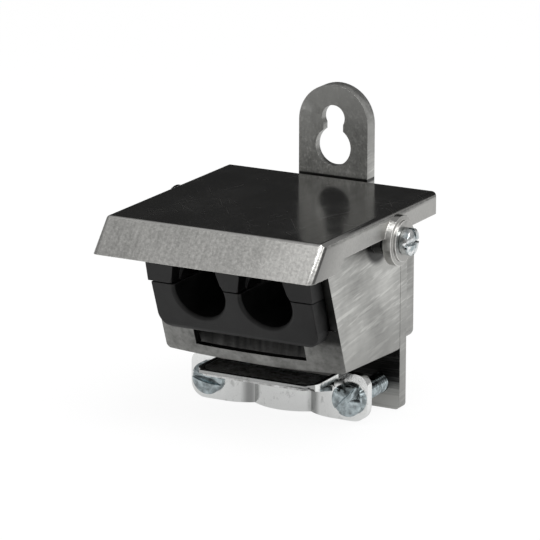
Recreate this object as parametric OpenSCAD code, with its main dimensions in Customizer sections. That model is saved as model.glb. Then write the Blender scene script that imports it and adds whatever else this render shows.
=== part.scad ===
// Service entrance weatherhead: a die-cast housing that hangs on a wall by a keyhole ear,
// a swinging hood over a split rubber insert with two conductor holes, and a screwed cable
// clamp below the open bottom. Millimetres, +Z up, -Y front, X = 0 is the plane of symmetry.
// The pieces are drawn from the hood's front fold line (Y) and its top face (Z), and then
// moved so that the origin is the centre of the keyhole's round hole, on the web's back face.

/* [Hood] */
// Width over the side skirts
hood_w = 76; // [72:0.5:84]
// Length of the flat top, front fold line to back edge
hood_len = 75.1; // [72:0.1:76]
// Thickness of the top and the apron
hood_t = 2.5; // [2:0.1:3.5]
// How far the apron's lower edge lies below the top face
apron_drop = 10.5; // [8:0.1:13]
// How far the apron's lower edge lies ahead of the fold line
apron_reach = 8.8; // [6:0.1:12]
// Thickness of the side skirts
skirt_t = 2.7; // [2:0.1:3]
// Depth of the skirts at the front
skirt_front_h = 10.8; // [9:0.1:12]
// Depth of the skirts behind the step
skirt_h = 7; // [6:0.1:8]
// Middle of the step in the skirts, behind the fold line
skirt_step_y = 10; // [8:0.5:14]
// Length of the step in the skirts
skirt_step_len = 5.6; // [3:0.1:8]
// Rounding along the top and apron edges
hood_edge_r = 2; // [1:0.1:2.4]
// Rounding of the back corners, seen from above
hood_corner_r = 1.2; // [1:0.1:3]
// Radius of the fold line
fold_r = 1.6; // [0.5:0.1:3]
// Height of the rib behind the insert
hood_rib_h = 5; // [2:0.5:7]
// Thickness of the rib behind the insert
hood_rib_t = 2; // [1.5:0.1:3]
// Clear space beside the rib behind the insert
hood_rib_side = 4; // [2:0.5:8]

/* [Hood pivot] */
// Pivot axis behind the fold line
pivot_y = 46.6; // [45:0.1:48]
// Pivot axis below the top face
pivot_drop = 9; // [8:0.1:9.5]
// Radius of the lug at its foot
lug_r = 7.9; // [7:0.1:8.5]
// Radius of the lug's outer step
lug_step_r = 6.5; // [6:0.1:7]
// Height of the lug on the skirt
lug_h = 3.1; // [1.5:0.1:4]
// Height of the lug's outer step
lug_step_h = 1; // [0.5:0.1:1.4]
// How deep the lug's disc is rooted in the skirt
lug_root = 0.6; // [0.4:0.1:1]
// Radius of the pivot bosses on the housing
boss_r = 5; // [4:0.1:6]
// Side play between a boss and the skirt
boss_play = 0.2; // [0.1:0.05:0.5]
// Radius of the pivot screws' shank
hinge_shank_r = 2.4; // [2:0.05:2.6]
// Radial play of the shank in the lug and in the boss
hinge_play = 0.05; // [0.02:0.01:0.1]
// Length of the pivot screws under the head
hinge_len = 13; // [11:0.5:16]
// Radius of the pivot screws' head
hinge_head_r = 4.3; // [4:0.1:5]
// Height of the pivot screws' head
hinge_head_h = 3.7; // [3:0.1:4.2]
// Share of the pivot screws' head height that is straight, below the dome
hinge_head_side = 0.7; // [0.6:0.05:0.8]
// End play under the pivot screws' head
hinge_head_play = 0.15; // [0.1:0.05:0.3]
// Width of the pivot screws' drive slots
hinge_slot_w = 1.2; // [0.8:0.1:1.6]
// Depth of the pivot screws' drive slots
hinge_slot_d = 1.8; // [1:0.1:2]
// Length of the pivot screws' drive slots, as a share of the head's width
hinge_slot_share = 1.1; // [0.5:0.05:1.2]

/* [Housing] */
// Inset of the side walls' front edges from the skirts' outer faces
house_inset = 6.5; // [6:0.1:7]
// How much further out the side walls lie at the back
wall_splay = 0.7; // [0.3:0.1:1]
// Thickness of the side walls at their front edges
wall_t = 2.5; // [2:0.1:2.6]
// Top of the side walls below the hood's top face
wall_top_drop = 3; // [2.9:0.1:4]
// Lean of the front edges from the vertical, in degrees
front_lean = 20.2; // [17:0.1:23]
// Front edge of the side walls at their lower corner, behind the fold line
front_foot_y = 26.6; // [25:0.1:28]
// Bottom edge of the housing at the front, below the hood's top face
house_drop = 48; // [47:0.1:50]
// How much lower the bottom edge lies at the back
house_drop_back = 1.5; // [0:0.1:2]
// Height of the front wall at its shoulders
front_wall_h = 10; // [9:0.1:10.5]
// Distance of the window's ends from the side walls
window_side = 9.5; // [7:0.5:12]
// Height of the rail under the window
window_rail_h = 3.5; // [3:0.1:4.5]
// Thickness of the front wall
front_wall_t = 3; // [2.5:0.1:3.5]
// How far the front wall bows forward at its middle
front_bow = 3; // [1:0.1:4]
// Rounding along the side walls' lower edges
front_corner_r = 1.5; // [1:0.1:2.4]
// Thickness of the cross wall behind the insert
cross_wall_t = 2.5; // [2:0.1:3]
// Height of the cross wall behind the insert
cross_wall_h = 20; // [15:0.5:21]
// How far the cross wall's lower edge lies above the housing's bottom
cross_wall_up = 1; // [0:0.1:3]

/* [Back plate and stand-off] */
// Front face of the back plate, behind the fold line
plate_y = 61.7; // [60:0.1:62]
// Thickness of the back plate
plate_t = 4.3; // [4:0.1:5]
// Top of the back plate below the hood's top face
plate_top_drop = 18; // [17.5:0.1:19]
// How far the back plate reaches below the clamp bar
plate_below = 0.9; // [0:0.1:3]
// Rounding of the back plate's lower corners
plate_corner_r = 1.5; // [1:0.1:3]
// Inset of the stand-off frame from the back plate's sides
frame_inset = 5.6; // [4:0.1:8]
// Top of the stand-off frame below the hood's top face
frame_top_drop = 23.2; // [23:0.1:26]
// How far the stand-off frame reaches below the housing's front bottom edge
frame_below = 2.4; // [1:0.1:4]
// Wall of the stand-off frame
frame_t = 3; // [2.5:0.1:4]
// Rounding of the stand-off frame's lower corners
frame_corner_r = 2.75; // [1.5:0.25:4]

/* [Hanging ear] */
// Half width of the ear
ear_half_w = 12.25; // [11.5:0.25:14]
// Thickness of the ear's web
web_t = 2.8; // [2:0.1:3.5]
// Gap between the hood's back edge and the web
ear_gap = 1.9; // [1.7:0.1:3]
// Depth of the rim behind the web
rim_depth = 2.2; // [1.5:0.1:3]
// Width of the rim around the ear
rim_w = 2.2; // [1.8:0.1:2.8]
// Keyhole's round centre above the hood's top face
keyhole_up = 9.65; // [8.5:0.05:11]
// Radius of the keyhole's round hole
keyhole_r = 6.25; // [5.5:0.05:6.5]
// Radius of the keyhole's small end
keyhole_small_r = 4.05; // [3.5:0.05:4.5]
// Distance from the round centre up to the small end's centre
keyhole_rise = 9.4; // [8:0.1:10]
// Half width of the neck between the two
keyhole_neck = 3.5; // [3:0.1:4]
// Centre of the ear's round top above the keyhole's round centre
ear_top_rise = 7.7; // [7:0.1:9]

/* [Rubber insert] */
// Split line of the insert below the hood's top face
split_drop = 22.1; // [21:0.1:23]
// Gap between the two rubber pieces
split_gap = 0.5; // [0.3:0.05:0.6]
// Play of the upper piece in the hollow, on each side
upper_play = 0.3; // [0.3:0.05:0.5]
// Front face of the upper piece at the split, behind the fold line
upper_front_y = 9.6; // [9:0.1:10.5]
// Lean of the upper piece's front face, in degrees
upper_lean = 14.7; // [12:0.1:17]
// Back face of the upper piece, behind the fold line
upper_back_y = 24; // [20:0.5:28]
// Depth of the arches in the upper piece's front face
arch_depth = 5.5; // [3:0.1:8]
// Radius of an arch's round top
arch_r = 7.6; // [7:0.1:8]
// Height of an arch's round centre above the split
arch_rise = 5.5; // [4:0.1:6.5]
// How much wider an arch is at the split, on each side
arch_spread = 1.6; // [0.5:0.1:1.8]
// Play of the lower piece beside the side walls, on each side
lower_play = 0.9; // [0.5:0.1:1.5]
// Play of the lower piece in the pocket's round corners and before the cross wall
pocket_play = 0.3; // [0.3:0.05:0.5]
// Front to back depth of the lower piece at the split
lower_depth = 23.6; // [20:0.1:25]
// Front face of the lower piece at the split, behind the fold line
lower_front_y = 10.4; // [10:0.1:12]
// Lean of the lower piece's front face, in degrees
lower_lean = 20.2; // [18:0.1:24]
// Rounding of the lower piece's bottom corners
lower_corner_r = 5; // [3:0.5:6]
// Rounding of the lower piece's bottom front edge
lower_edge_r = 2.2; // [1:0.1:3]
// Radius of a conductor hole
wire_hole_r = 8.7; // [7.5:0.1:9]
// Distance of a conductor hole from the middle
wire_hole_x = 11.65; // [11:0.05:13]
// Centre of a conductor hole below the split, along the front face
wire_hole_drop = 2.6; // [2:0.1:3.2]
// Width of the broken edge at a hole's mouth
wire_hole_edge = 0.7; // [0.3:0.1:1]

/* [Clamp bar] */
// Front face of the clamp bar's ears, behind the fold line
bar_y = 41.3; // [41:0.1:42]
// Thickness of the clamp bar
bar_t = 2.9; // [2.5:0.1:3.5]
// Inset of the clamp bar's ends from the hood's side faces
bar_inset = 6.6; // [6.4:0.1:7.5]
// Gap between the housing's front bottom edge and the clamp bar
bar_gap = 4.4; // [4:0.1:5]
// Height of the clamp bar
bar_h = 15.3; // [15:0.1:16]
// Rounding of the ears' upper corners
bar_top_r = 4; // [2:0.5:5]
// Rounding of the ears' lower corners
bar_low_r = 5; // [4:0.5:6.5]
// Radius of the middle lobe
lobe_r = 17.7; // [17:0.1:18.5]
// How far the middle lobe lies ahead of the ears
lobe_ahead = 0.2; // [0:0.1:0.5]
// Radius of the bulges beside the middle lobe
bulge_r = 16; // [15:0.1:17]
// Front line of the bulges, from the middle
bulge_x = 19.3; // [19:0.1:19.6]
// Half width of the middle lobe, to the valleys
valley_x = 10; // [9.5:0.1:10.5]
// Depth of the lobe and the bulges, front to back
ridge_depth = 6.5; // [6:0.1:7]
// How far the lip lies below the ears' upper edge
lip_below = 0.6; // [0.4:0.1:1]
// Height of the lip's outer edge
lip_h = 1.8; // [1.2:0.1:2.4]
// Front of the lip, behind the fold line
lip_y = 24; // [23:0.5:28]
// Inset of the lip from the clamp bar's ends
lip_inset = 10.2; // [9.8:0.1:10.6]
// Rounding of the lip's front corners
lip_r = 5.5; // [4:0.5:7]
// Width of the lip's rim
lip_rim_w = 1.5; // [1.2:0.1:2]
// How far the sloping throat drops from the lip to the lobes
throat_drop = 4; // [3:0.1:5]
// Clear space between the throat and the screw heads
throat_gap = 0.8; // [0.5:0.1:2]

/* [Clamp screws] */
// Distance of a clamp screw from the clamp bar's end
clamp_edge = 6.4; // [6.2:0.1:6.6]
// Clamp screws' axis below the clamp bar's upper edge
clamp_below = 8.3; // [8.1:0.1:8.5]
// Radius of the clamp screws' shank
clamp_shank_r = 3.175; // [3:0.025:3.3]
// Radial play of the shank in the clamp bar and in the back plate
clamp_play = 0.08; // [0.05:0.01:0.1]
// Length of the clamp screws under the head
clamp_len = 31.75; // [28:0.25:34]
// Radius of the clamp screws' head
clamp_head_r = 5.3; // [5.1:0.1:5.5]
// Height of the clamp screws' head
clamp_head_h = 3.2; // [2.8:0.1:3.2]
// Share of the clamp screws' head height that is straight, below the dome
clamp_head_side = 0.5; // [0.4:0.05:0.6]
// End play under the clamp screws' head
clamp_head_play = 0.02; // [0.02:0.01:0.05]
// Width of the clamp screws' slot
clamp_slot_w = 1.9; // [1.4:0.1:2.2]
// Depth of the clamp screws' slot
clamp_slot_d = 2.2; // [1:0.1:2.4]
// Turn of the left screw's slot, in degrees
left_slot_turn = -9; // [-90:1:90]
// Turn of the right screw's slot, in degrees
right_slot_turn = 47; // [-90:1:90]

/* [Hidden] */
$fn = 64;
over = 1;                                   // how far a cutter runs past a face
far = 200;                                  // longer than any piece
origin_y = hood_len + ear_gap + web_t;      // fold line to the web's back face
web_y = hood_len + ear_gap;                 // front face of the ear's web
wall_plane_y = origin_y + rim_depth;        // back of the ear's rim and of the stand-off frame
half_hood = hood_w / 2;
house_front_w = hood_w - 2 * house_inset;   // width over the side walls at the front
house_back_w = house_front_w + 2 * wall_splay;
half_cavity = house_front_w / 2 - wall_t;   // half width of the hollow between the side walls
shoulder_drop = house_drop - front_wall_h;
window_drop = house_drop - window_rail_h;
window_half_w = half_cavity - window_side;
frame_w = house_back_w - 2 * frame_inset;
frame_drop = house_drop + frame_below;
lower_half_w = half_cavity - lower_play;
lower_back_y = lower_front_y + lower_depth;
cross_wall_y = lower_back_y + pocket_play;
bar_half_w = half_hood - bar_inset;
bar_top_drop = house_drop + bar_gap;
bar_drop = bar_top_drop + bar_h;
lip_top_drop = bar_top_drop + lip_below;
lip_half_w = bar_half_w - lip_inset;
plate_drop = bar_drop + plate_below;
clamp_x = bar_half_w - clamp_edge;
clamp_drop = bar_top_drop + clamp_below;
throat_half_w = clamp_x - clamp_head_r - throat_gap;
lobe_y = bar_y - lobe_ahead;                // front of the middle lobe
ridge_back_y = bar_y + ridge_depth;
skirt_in = half_hood - skirt_t;             // inner face of the skirts
apron_ang = atan2(apron_drop, apron_reach); // apron's slope below the horizontal
apron_len = norm([apron_drop, apron_reach]);
fold_tan = fold_r * tan(apron_ang / 2);     // tangent length of the fold's rounding
apron_in_y = hood_t * tan(apron_ang / 2);   // inner fold line behind the outer one
lug_face = half_hood + lug_h;
hinge_hole_r = hinge_shank_r + hinge_play;
clamp_hole_r = clamp_shank_r + clamp_play;
plate_back_y = plate_y + plate_t;
lean_run = tan(front_lean);                 // how far a front edge runs back for each mm down
edge_top_y = front_foot_y - (house_drop - wall_top_drop) * lean_run;
front_r = pow(house_front_w / 2, 2) / (2 * front_bow * cos(front_lean));
throat_y = bar_y + bar_t / 2;               // where the throat's slope meets the lobes
foot_ang = atan2(house_drop_back, plate_back_y - front_foot_y);  // slope of the bottom edge
side_ang = atan2((house_back_w - house_front_w) / 2, plate_back_y - edge_top_y);
foot_half_w = house_front_w / 2 + (front_foot_y - edge_top_y) * tan(side_ang);
ring_fn = 360;

// Moves a piece from the drawing frame to the part's origin.
module placed() translate([0, -origin_y, -keyhole_up]) children();

// A side outline, given as [Y, Z] points, drawn out across the part.
module across(w) rotate([90, 0, 90]) linear_extrude(w, center = true) children();

// A front outline, given as [X, Z] points, drawn from y1 to y2.
module front_to_back(y1, y2) translate([0, y2, 0]) rotate([90, 0, 0]) linear_extrude(y2 - y1) children();

// A plain block between two corners.
module block(lo, hi) translate(lo) cube(hi - lo);

// A round bar across the part from x1 to x2.
module bar_x(r, x1, x2, y, z) translate([x1, y, z]) rotate([0, 90, 0]) cylinder(r = r, h = x2 - x1);

// A round bar from front to back.
module bar_y_axis(r, y1, y2, x, z) translate([x, y1, z]) rotate([-90, 0, 0]) cylinder(r = r, h = y2 - y1);

// An upright round bar.
module bar_z(r, z1, z2, x, y) translate([x, y, z1]) cylinder(r = r, h = z2 - z1);

// Cutter that rounds an outer edge lying along +Y; the corner is at the origin,
// and the metal is towards -X and -Z.
module edge_cutter(r, len) difference() {
    translate([-r, -over, -r]) cube([r + over, len + 2 * over, r + over]);
    translate([-r, -2 * over, -r]) rotate([-90, 0, 0]) cylinder(r = r, h = len + 4 * over);
}

// Both sides of the part.
module both() { children(); mirror([1, 0, 0]) children(); }

// ---- hood ----
module hood_side() {
    step_front = skirt_step_y - skirt_step_len / 2;
    step_back = skirt_step_y + skirt_step_len / 2;
    polygon([[fold_tan, 0], [hood_len, 0], [hood_len, -skirt_h], [step_back, -skirt_h],
             [step_front, -skirt_front_h], [-apron_reach, -apron_drop],
             [-fold_tan * cos(apron_ang), -fold_tan * sin(apron_ang)]]);
}

module hood_hollow_side() {
    down = 3 * skirt_front_h;
    polygon([[apron_in_y, -hood_t], [hood_len + over, -hood_t], [hood_len + over, -down],
             [apron_in_y - (down - hood_t) / tan(apron_ang), -down]]);
}

module hood() color([0.62, 0.62, 0.62]) placed() difference() {
    union() {
        difference() {
            union() {
                across(hood_w) hood_side();
                bar_x(fold_r, -half_hood, half_hood, fold_tan, -fold_r, $fn = 96);
            }
            across(2 * skirt_in) hood_hollow_side();
            both() {
                translate([half_hood, 0, 0]) edge_cutter(hood_edge_r, hood_len);
                translate([half_hood, 0, 0]) rotate([apron_ang, 0, 0]) translate([0, -apron_len, 0])
                    edge_cutter(hood_edge_r, apron_len);
                translate([half_hood, hood_len, 0]) rotate([-90, 0, 0]) edge_cutter(hood_corner_r, skirt_h);
            }
        }
        both() {
            bar_x(boss_r, skirt_in, half_hood, pivot_y, -pivot_drop);
            bar_x(lug_r, half_hood - lug_root, lug_face - lug_step_h, pivot_y, -pivot_drop);
            bar_x(lug_step_r, half_hood - lug_root, lug_face, pivot_y, -pivot_drop);
        }
        block([-half_cavity + hood_rib_side, upper_back_y + pocket_play, -hood_t - hood_rib_h],
              [half_cavity - hood_rib_side, upper_back_y + pocket_play + hood_rib_t, -hood_t / 2]);
    }
    both() bar_x(hinge_hole_r, skirt_in - over, lug_face + over, pivot_y, -pivot_drop);
}

// ---- pivot screws ----
// A domed screw head standing on Z = 0.
module round_head(r, h, side) {
    dome = h * (1 - side);
    ball = (r * r + dome * dome) / (2 * dome);
    intersection() {
        cylinder(r = r, h = h);
        translate([0, 0, h - ball]) sphere(r = ball);
    }
}

module hinge_screw() color([0.72, 0.76, 0.78]) placed() {
    base = lug_face + hinge_head_play;
    slot_len = 2 * hinge_head_r * hinge_slot_share;
    difference() {
        union() {
            bar_x(hinge_shank_r, base - hinge_len, base + over, pivot_y, -pivot_drop);
            translate([base, pivot_y, -pivot_drop]) rotate([0, 90, 0])
                round_head(hinge_head_r, hinge_head_h, hinge_head_side);
        }
        for (turn = [0, 90])
            translate([base + hinge_head_h - hinge_slot_d, pivot_y, -pivot_drop]) rotate([turn, 0, 0])
                translate([0, -slot_len / 2, -hinge_slot_w / 2])
                    cube([hinge_slot_d + over, slot_len, hinge_slot_w]);
    }
}

module hinge_screw_right() hinge_screw();
module hinge_screw_left() mirror([1, 0, 0]) hinge_screw();

// ---- housing ----
module wall_plan() {
    polygon([[half_cavity, 0], [house_front_w / 2, 0], [house_front_w / 2, edge_top_y],
             [house_back_w / 2, plate_back_y], [half_cavity, plate_back_y]]);
}

module wall_side() {
    polygon([[edge_top_y, -wall_top_drop], [pivot_y + 2, -wall_top_drop],
             [plate_back_y, -plate_top_drop], [plate_back_y, -house_drop - house_drop_back],
             [front_foot_y, -house_drop]]);
}

module leaning_shell(out) translate([0, front_foot_y - front_bow, -house_drop]) rotate([front_lean, 0, 0])
    translate([0, front_r + out, -far / 2]) cylinder(r = front_r, h = far, $fn = ring_fn);

// The pocket for the lower rubber piece: its bottom corners are round, like the piece's.
module pocket(back) {
    half = lower_half_w + pocket_play;
    r = lower_corner_r + pocket_play;
    block([-half, 0, -shoulder_drop + r], [half, back, 0]);
    block([-half + r, 0, -shoulder_drop], [half - r, back, 0]);
    both() bar_y_axis(r, 0, back, half - r, -shoulder_drop + r);
}

module front_wall() difference() {
    intersection() {
        difference() { leaning_shell(0); leaning_shell(front_wall_t); }
        block([-house_front_w / 2, 0, -house_drop],
              [house_front_w / 2, lower_back_y, -shoulder_drop + lower_corner_r]);
    }
    pocket(lower_back_y);
    block([-window_half_w, 0, -window_drop], [window_half_w, lower_back_y, 0]);
}

module cross_wall() block([-half_cavity - over / 2, cross_wall_y, -house_drop + cross_wall_up],
    [half_cavity + over / 2, cross_wall_y + cross_wall_t, -house_drop + cross_wall_up + cross_wall_h]);

module ear_outline(inset) {
    translate([0, keyhole_up + ear_top_rise]) circle(r = ear_half_w - inset, $fn = 96);
    translate([-ear_half_w + inset, -frame_top_drop - frame_t / 2])
        square([2 * (ear_half_w - inset), keyhole_up + ear_top_rise + frame_top_drop + frame_t / 2]);
}

module ear() difference() {
    front_to_back(web_y, wall_plane_y) ear_outline(0);
    front_to_back(origin_y, wall_plane_y + over) ear_outline(rim_w);
    bar_y_axis(keyhole_r, web_y - over, wall_plane_y + over, 0, keyhole_up);
    bar_y_axis(keyhole_small_r, web_y - over, wall_plane_y + over, 0, keyhole_up + keyhole_rise);
    block([-keyhole_neck, web_y - over, keyhole_up],
          [keyhole_neck, wall_plane_y + over, keyhole_up + keyhole_rise]);
}

module stand_off() difference() {
    block([-frame_w / 2, plate_back_y - over, -frame_drop], [frame_w / 2, wall_plane_y, -frame_top_drop]);
    block([-frame_w / 2 + frame_t, plate_back_y, -frame_drop + frame_t],
          [frame_w / 2 - frame_t, wall_plane_y + over, -frame_top_drop - frame_t]);
    both() translate([frame_w / 2, plate_back_y, -frame_drop]) mirror([0, 0, 1])
        edge_cutter(frame_corner_r, wall_plane_y - plate_back_y);
}

module housing() color([0.7, 0.7, 0.69]) placed() difference() {
    union() {
        difference() {
            union() {
                both() intersection() {
                    linear_extrude(far, center = true) wall_plan();
                    across(far) wall_side();
                }
                front_wall();
                cross_wall();
            }
            both() translate([foot_half_w, front_foot_y, -house_drop]) mirror([0, 0, 1])
                rotate([foot_ang, 0, 0]) rotate([0, 0, -side_ang]) translate([0, -front_foot_y, 0])
                edge_cutter(front_corner_r, far);
        }
        difference() {
            block([-house_back_w / 2, plate_y, -plate_drop],
                  [house_back_w / 2, plate_back_y, -plate_top_drop]);
            both() translate([house_back_w / 2, plate_y, -plate_drop]) mirror([0, 0, 1])
                edge_cutter(plate_corner_r, plate_t);
        }
        both() bar_x(boss_r, half_cavity - over, skirt_in - boss_play, pivot_y, -pivot_drop);
        stand_off();
        ear();
    }
    both() {
        bar_x(hinge_hole_r, half_cavity - 2 * over, skirt_in + over, pivot_y, -pivot_drop);
        bar_y_axis(clamp_hole_r, plate_y - over, plate_back_y + over, clamp_x, -clamp_drop);
    }
}

// ---- rubber insert ----
module wire_holes() both() {
    foot = wire_hole_drop + split_gap / 2;
    translate([wire_hole_x, lower_front_y + foot * sin(lower_lean), -split_drop - foot * cos(lower_lean)])
        rotate([90 + lower_lean, 0, 0]) {
            translate([0, 0, -far / 2]) cylinder(r = wire_hole_r, h = far, $fn = 96);
            translate([0, 0, -wire_hole_edge])
                cylinder(r1 = wire_hole_r, r2 = wire_hole_r + 3 * wire_hole_edge, h = 3 * wire_hole_edge, $fn = 96);
        }
}

// The tall arches in the upper piece's front face, ahead of the conductor holes.
module arches() translate([0, upper_front_y, -split_drop]) rotate([upper_lean, 0, 0]) both() {
    translate([wire_hole_x, 0, arch_rise]) bar_y_axis(arch_r, -far / 2, arch_depth, 0, 0, $fn = 96);
    front_to_back(-far / 2, arch_depth) polygon([
        [wire_hole_x - arch_r, arch_rise], [wire_hole_x - arch_r - arch_spread, -over],
        [wire_hole_x + arch_r + arch_spread, -over], [wire_hole_x + arch_r, arch_rise]]);
}

module insert_upper() color([0.13, 0.13, 0.13]) placed() difference() {
    low = -split_drop + split_gap / 2;
    across(2 * (half_cavity - upper_play)) polygon([
        [upper_front_y, low], [upper_front_y - (-hood_t - low) * tan(upper_lean), -hood_t],
        [upper_back_y, -hood_t], [upper_back_y, low]]);
    arches();
    wire_holes();
}

module insert_lower() color([0.13, 0.13, 0.13]) placed() difference() {
    top = -split_drop - split_gap / 2;
    foot_y = lower_front_y + (top + shoulder_drop) * tan(lower_lean);
    tangent = lower_edge_r * tan((90 - lower_lean) / 2);
    union() {
        across(2 * lower_half_w) polygon([
            [lower_front_y, top], [lower_back_y, top], [lower_back_y, -shoulder_drop],
            [foot_y + tangent, -shoulder_drop],
            [foot_y - tangent * sin(lower_lean), -shoulder_drop + tangent * cos(lower_lean)]]);
        bar_x(lower_edge_r, -lower_half_w, lower_half_w, foot_y + tangent, -shoulder_drop + lower_edge_r);
    }
    both() translate([lower_half_w, 0, -shoulder_drop]) mirror([0, 0, 1])
        edge_cutter(lower_corner_r, lower_back_y);
    wire_holes();
}

// ---- clamp bar ----
module bar_front() {
    for (x = [1, -1]) mirror([x < 0 ? 1 : 0, 0]) {
        translate([bar_half_w - bar_top_r, -bar_top_drop - bar_top_r]) circle(r = bar_top_r);
        translate([bar_half_w - bar_low_r, -bar_drop + bar_low_r]) circle(r = bar_low_r);
        polygon([[bulge_x, -bar_drop], [bar_half_w - bar_low_r, -bar_drop],
                 [bar_half_w, -bar_drop + bar_low_r], [bar_half_w, -bar_top_drop - bar_top_r],
                 [bar_half_w - bar_top_r, -bar_top_drop],
                 [lip_half_w - lip_rim_w, -bar_top_drop],
                 [lip_half_w - lip_rim_w, -lip_top_drop - throat_drop],
                 [bulge_x, -lip_top_drop - throat_drop]]);
    }
}

module lip_plan(inset) {
    half = lip_half_w - inset;
    r = lip_r - inset;
    for (side = [-1, 1]) translate([side * (half - r), lip_y + inset + r]) circle(r = r, $fn = 96);
    translate([-half + r, lip_y + inset]) square([2 * (half - r), r]);
    translate([-half, lip_y + inset + r]) square([2 * half, bar_y + bar_t - lip_y - inset - r]);
}

module throat_side() {
    rim_back = lip_y + lip_rim_w;
    low = -lip_top_drop - lip_h;
    polygon([[lip_y, -lip_top_drop], [rim_back, -lip_top_drop], [rim_back, low + lip_h / 2],
             [throat_y, low - throat_drop + lip_h], [throat_y, low - throat_drop], [rim_back, low],
             [lip_y, low]]);
}

// An upright curved wall between x1 and x2, whose front line is at (x, y).
module curved_wall(r, x, y, x1, x2, top) intersection() {
    difference() {
        bar_z(r, -bar_drop, top, x, y + r, $fn = ring_fn);
        bar_z(r - bar_t, -far, far, x, y + r, $fn = ring_fn);
    }
    block([x1, y - over, -far], [x2, ridge_back_y, far]);
}

module clamp_bar() color([0.78, 0.78, 0.77]) placed() {
    wall_top = -lip_top_drop - throat_drop;
    head_y = bar_y - clamp_head_h - throat_gap;
    difference() {
        union() {
            front_to_back(bar_y, bar_y + bar_t) bar_front();
            both() curved_wall(bulge_r, bulge_x, bar_y, valley_x - over, bulge_x, wall_top);
            curved_wall(lobe_r, 0, lobe_y, -valley_x - over, valley_x + over, wall_top);
            intersection() {
                linear_extrude(far, center = true) lip_plan(0);
                across(far) throat_side();
                block([-far, 0, -far], [far, head_y, 0]);
            }
            across(2 * throat_half_w) throat_side();
            difference() {
                translate([0, 0, -lip_top_drop - lip_h]) linear_extrude(lip_h) lip_plan(0);
                translate([0, 0, -lip_top_drop - 2 * lip_h]) linear_extrude(3 * lip_h) lip_plan(lip_rim_w);
            }
            block([-throat_half_w, throat_y - over, wall_top - lip_h],
                  [throat_half_w, bar_y + bar_t, wall_top]);
        }
        bar_z(lobe_r - bar_t, -far, far, 0, lobe_y + lobe_r, $fn = ring_fn);
        both() bar_y_axis(clamp_hole_r, bar_y - over, bar_y + bar_t + over, clamp_x, -clamp_drop);
    }
}

// ---- clamp screws ----
module clamp_screw(x, turn) color([0.72, 0.76, 0.78]) placed() difference() {
    union() {
        bar_y_axis(clamp_shank_r, bar_y - over, bar_y + clamp_len, x, -clamp_drop);
        translate([x, bar_y - clamp_head_play, -clamp_drop]) rotate([90, 0, 0])
            round_head(clamp_head_r, clamp_head_h - clamp_head_play, clamp_head_side);
    }
    translate([x, bar_y - clamp_head_h, -clamp_drop]) rotate([0, -turn, 0])
        translate([-clamp_head_r - over, -over, -clamp_slot_w / 2])
            cube([2 * (clamp_head_r + over), clamp_slot_d + over, clamp_slot_w]);
}

module clamp_screw_left() clamp_screw(-clamp_x, left_slot_turn);
module clamp_screw_right() clamp_screw(clamp_x, right_slot_turn);

housing();
hood();
hinge_screw_left();
hinge_screw_right();
insert_upper();
insert_lower();
clamp_bar();
clamp_screw_left();
clamp_screw_right();
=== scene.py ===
"""Service entrance weatherhead: finishes with painted light and shade, softened castings, threaded screws and
a plain studio.
"""
import math

import bmesh
import bpy
from mathutils import Matrix, Vector


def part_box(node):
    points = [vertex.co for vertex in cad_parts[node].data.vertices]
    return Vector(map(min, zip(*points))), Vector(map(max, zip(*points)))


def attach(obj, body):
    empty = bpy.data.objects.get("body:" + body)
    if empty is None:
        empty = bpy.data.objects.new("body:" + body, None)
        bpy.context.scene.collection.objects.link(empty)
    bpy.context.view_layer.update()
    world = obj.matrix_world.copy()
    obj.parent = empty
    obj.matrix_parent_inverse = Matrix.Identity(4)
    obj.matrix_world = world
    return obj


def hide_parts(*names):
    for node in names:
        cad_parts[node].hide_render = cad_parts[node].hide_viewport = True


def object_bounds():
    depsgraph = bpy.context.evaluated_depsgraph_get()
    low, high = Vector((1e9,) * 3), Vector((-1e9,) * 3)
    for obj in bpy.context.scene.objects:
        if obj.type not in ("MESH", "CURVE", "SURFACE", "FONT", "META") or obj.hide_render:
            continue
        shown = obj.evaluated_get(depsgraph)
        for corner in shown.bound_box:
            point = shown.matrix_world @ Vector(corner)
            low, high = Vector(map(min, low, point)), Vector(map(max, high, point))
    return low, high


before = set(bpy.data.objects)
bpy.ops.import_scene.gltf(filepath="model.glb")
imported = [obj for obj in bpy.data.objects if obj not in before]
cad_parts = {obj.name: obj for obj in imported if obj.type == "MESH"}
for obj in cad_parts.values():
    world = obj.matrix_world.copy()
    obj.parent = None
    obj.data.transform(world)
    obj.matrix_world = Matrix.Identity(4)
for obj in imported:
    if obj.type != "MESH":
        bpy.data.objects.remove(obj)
CAD_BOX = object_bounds()

bl_info = {
    "name": "Service Entrance Weatherhead",
    "version": (1, 0, 0),
    "blender": (4, 5, 0),
    "location": "3D View > Sidebar > Weatherhead",
    "description": "Dresses the packed weatherhead with softened castings, screws and finishes",
    "category": "Object",
}

MM = 0.001
SIDES = ("left", "right")
BORE_AXIS = Vector((0.0, -0.9385, -0.3453))     # the conductors' way out of the insert
THREAD_RADIUS = 3.175 * MM      # of the quarter inch clamp screws
BROAD = 1.2 * MM        # area over outline of a face that is a true plane, and no facet of a curve
CREASE = math.radians(42.0)     # faces that meet more steeply are shaded apart
SHARP = math.radians(30.0)      # edges that turn more are rounded


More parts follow.
